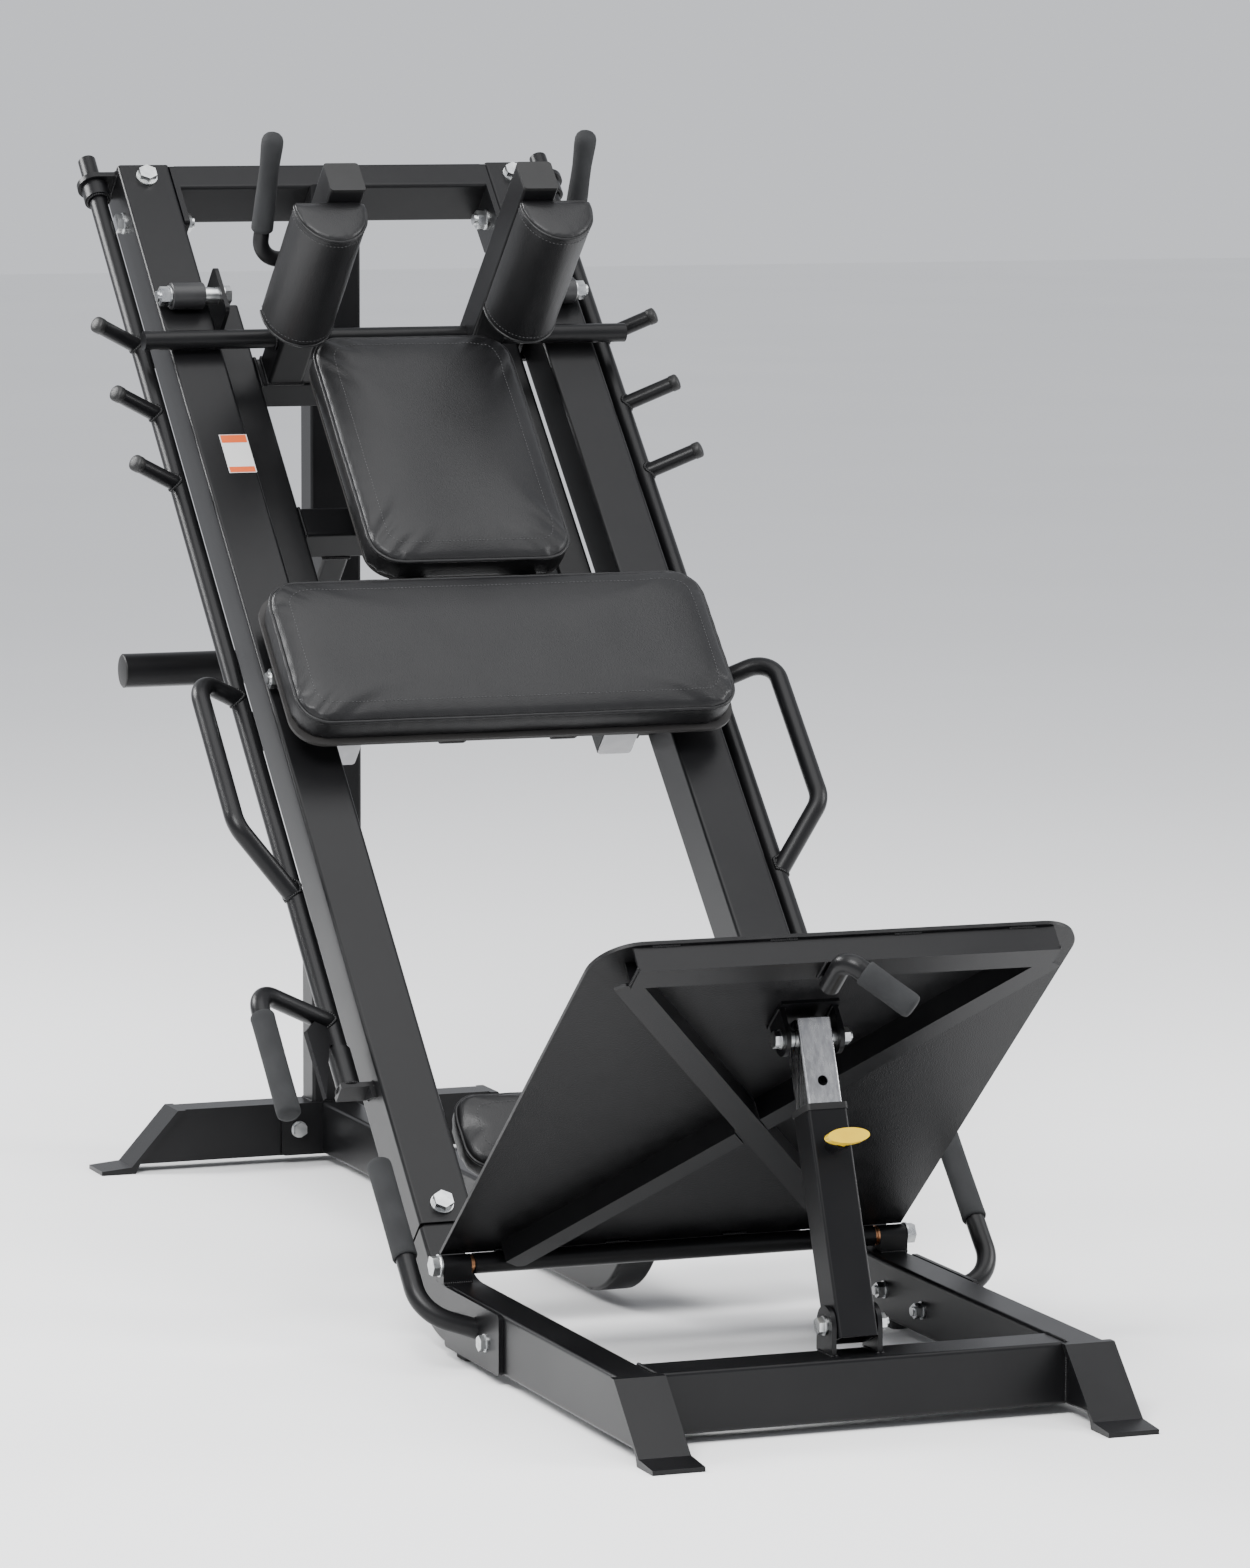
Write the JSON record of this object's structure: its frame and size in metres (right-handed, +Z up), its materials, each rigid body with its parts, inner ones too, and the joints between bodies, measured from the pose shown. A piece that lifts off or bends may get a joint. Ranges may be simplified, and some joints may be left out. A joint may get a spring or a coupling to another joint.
{
  "type": "hack squat machine",
  "caption": "Hack squat machine: padded carriage rolling on two 45 degree rails, with a folding foot plate on a pinned strut, turning stop rods and a load bar.",
  "frame": {"origin": "on the floor at the centre of the footprint, in the symmetry plane", "axes": "+X across the machine to its right-hand side as seen from the foot plate, +Y from the foot plate to the rear post, +Z up"},
  "size_m": [0.9656, 2.2085, 1.5168],
  "materials": {
    "satin_black": "satin",
    "tread": "textured",
    "zinc": "satin",
    "bare_tube": "satin",
    "bronze": "satin",
    "knob_yellow": "gloss",
    "black_vinyl": "satin",
    "foam_grey": "matte",
    "black_plastic": "matte",
    "black_rubber": "matte",
    "pad_board": "satin",
    "glide_nylon": "matte"
  },
  "bodies": {
    "frame": {"rear_cross_member": "satin_black", "rear_post": "satin_black", "spine": "satin_black", "rail_left": "satin_black", "rail_right": "satin_black", "top_beam": "satin_black", "side_tube_left": "satin_black", "side_tube_right": "satin_black", "front_cross_tube": "satin_black", "rubber_feet": "black_rubber", "top_beam_bolts": "zinc", "rail_foot_bolts": "zinc", "flange_bolts": "zinc", "assist_handle_left": "satin_black", "assist_handle_right": "satin_black", "assist_grips": "foam_grey", "assist_bolts": "zinc", "seat_pad_upper": "black_vinyl", "seat_pad_lower": "black_vinyl", "hinge_bolts": "zinc", "hinge_washers": "bronze", "strut_foot_bolt": "zinc"},
    "footplate_body": {"footplate": "tread", "footplate_channel": "satin_black", "footplate_braces": "satin_black", "footplate_hinge_tube": "satin_black", "strut_head_clevis": "satin_black", "strut_head_bolt": "zinc", "lift_handle": "satin_black", "lift_grip": "foam_grey"},
    "strut_outer": {"strut_outer_tube": "satin_black", "strut_collar": "black_plastic"},
    "strut_inner": {"strut_inner_tube": "bare_tube"},
    "lock_pin": {"pull_pin": "knob_yellow"},
    "stop_left": {"stop_rod_left": "satin_black", "grab_bar_left": "satin_black", "stop_lever_left": "satin_black", "lever_grip_left": "foam_grey"},
    "stop_right": {"stop_rod_right": "satin_black", "grab_bar_right": "satin_black", "stop_lever_right": "satin_black", "lever_grip_right": "foam_grey"},
    "carriage": {"carriage_frame": "satin_black", "shoulder_arms": "satin_black", "arm_caps": "black_plastic", "shoulder_pad_left": "black_vinyl", "shoulder_pad_right": "black_vinyl", "carriage_grips": "foam_grey", "catch_bar": "satin_black", "hip_pad": "black_vinyl", "back_pad": "black_vinyl", "pad_boards": "pad_board", "horn_bar": "satin_black", "roller_plates": "satin_black", "glide_blocks": "glide_nylon", "roller_axles": "zinc"},
    "wheel_lower_left": {"roller_lower_left": "glide_nylon"},
    "wheel_lower_right": {"roller_lower_right": "glide_nylon"},
    "wheel_upper_left": {"roller_upper_left": "glide_nylon"},
    "wheel_upper_right": {"roller_upper_right": "glide_nylon"}
  },
  "joints": [
    {"name": "carriage_slide", "type": "slide", "parent": "frame", "child": "carriage", "axis": [0, 0.7071, 0.7071], "range_m": [-0.62, 0.066]},
    {"name": "footplate_hinge", "type": "hinge", "parent": "frame", "child": "footplate_body", "pos_m": [0, -0.3494, 0.11], "axis": [-1, 0, 0], "range_deg": [-7.5, 8.5]},
    {"name": "strut_pivot", "type": "hinge", "parent": "frame", "child": "strut_outer", "pos_m": [0, -0.9214, 0.122], "axis": [-1, 0, 0], "range_deg": [-3.3, 3.7]},
    {"name": "strut_slide", "type": "slide", "parent": "strut_outer", "child": "strut_inner", "axis": [0, 0.3684, 0.9297], "range_m": [-0.0708, 0.0802]},
    {"name": "lock_pull", "type": "slide", "parent": "strut_outer", "child": "lock_pin", "axis": [0, -0.9297, 0.3684], "range_m": [0, 0.014], "stiffness_N_per_m": 800, "springref_m": -0.004},
    {"name": "stop_turn_left", "type": "hinge", "parent": "frame", "child": "stop_left", "pos_m": [-0.345, 0.48999, 0.85441], "axis": [0, 0.7071, 0.7071], "range_deg": [0, 55.5]},
    {"name": "stop_turn_right", "type": "hinge", "parent": "frame", "child": "stop_right", "pos_m": [0.345, 0.48999, 0.85441], "axis": [0, -0.7071, -0.7071], "range_deg": [0, 55.5]},
    {"name": "wheel_lower_left_spin", "type": "hinge", "parent": "carriage", "child": "wheel_lower_left", "pos_m": [-0.2784, 0.34058, 0.78603], "axis": [1, 0, 0], "continuous": true},
    {"name": "wheel_lower_right_spin", "type": "hinge", "parent": "carriage", "child": "wheel_lower_right", "pos_m": [0.2784, 0.34058, 0.78603], "axis": [1, 0, 0], "continuous": true},
    {"name": "wheel_upper_left_spin", "type": "hinge", "parent": "carriage", "child": "wheel_upper_left", "pos_m": [-0.2784, 0.83202, 1.27747], "axis": [1, 0, 0], "continuous": true},
    {"name": "wheel_upper_right_spin", "type": "hinge", "parent": "carriage", "child": "wheel_upper_right", "pos_m": [0.2784, 0.83202, 1.27747], "axis": [1, 0, 0], "continuous": true}
  ],
  "couplings": [
    {"joint": "strut_pivot", "follows": "footplate_hinge", "ratio": 0.4307},
    {"joint": "strut_slide", "follows": "footplate_hinge", "m_per_rad": 0.5358},
    {"joint": "wheel_lower_left_spin", "follows": "carriage_slide", "rad_per_m": -52.6},
    {"joint": "wheel_lower_right_spin", "follows": "carriage_slide", "rad_per_m": -52.6},
    {"joint": "wheel_upper_left_spin", "follows": "carriage_slide", "rad_per_m": -52.6},
    {"joint": "wheel_upper_right_spin", "follows": "carriage_slide", "rad_per_m": -52.6}
  ]
}
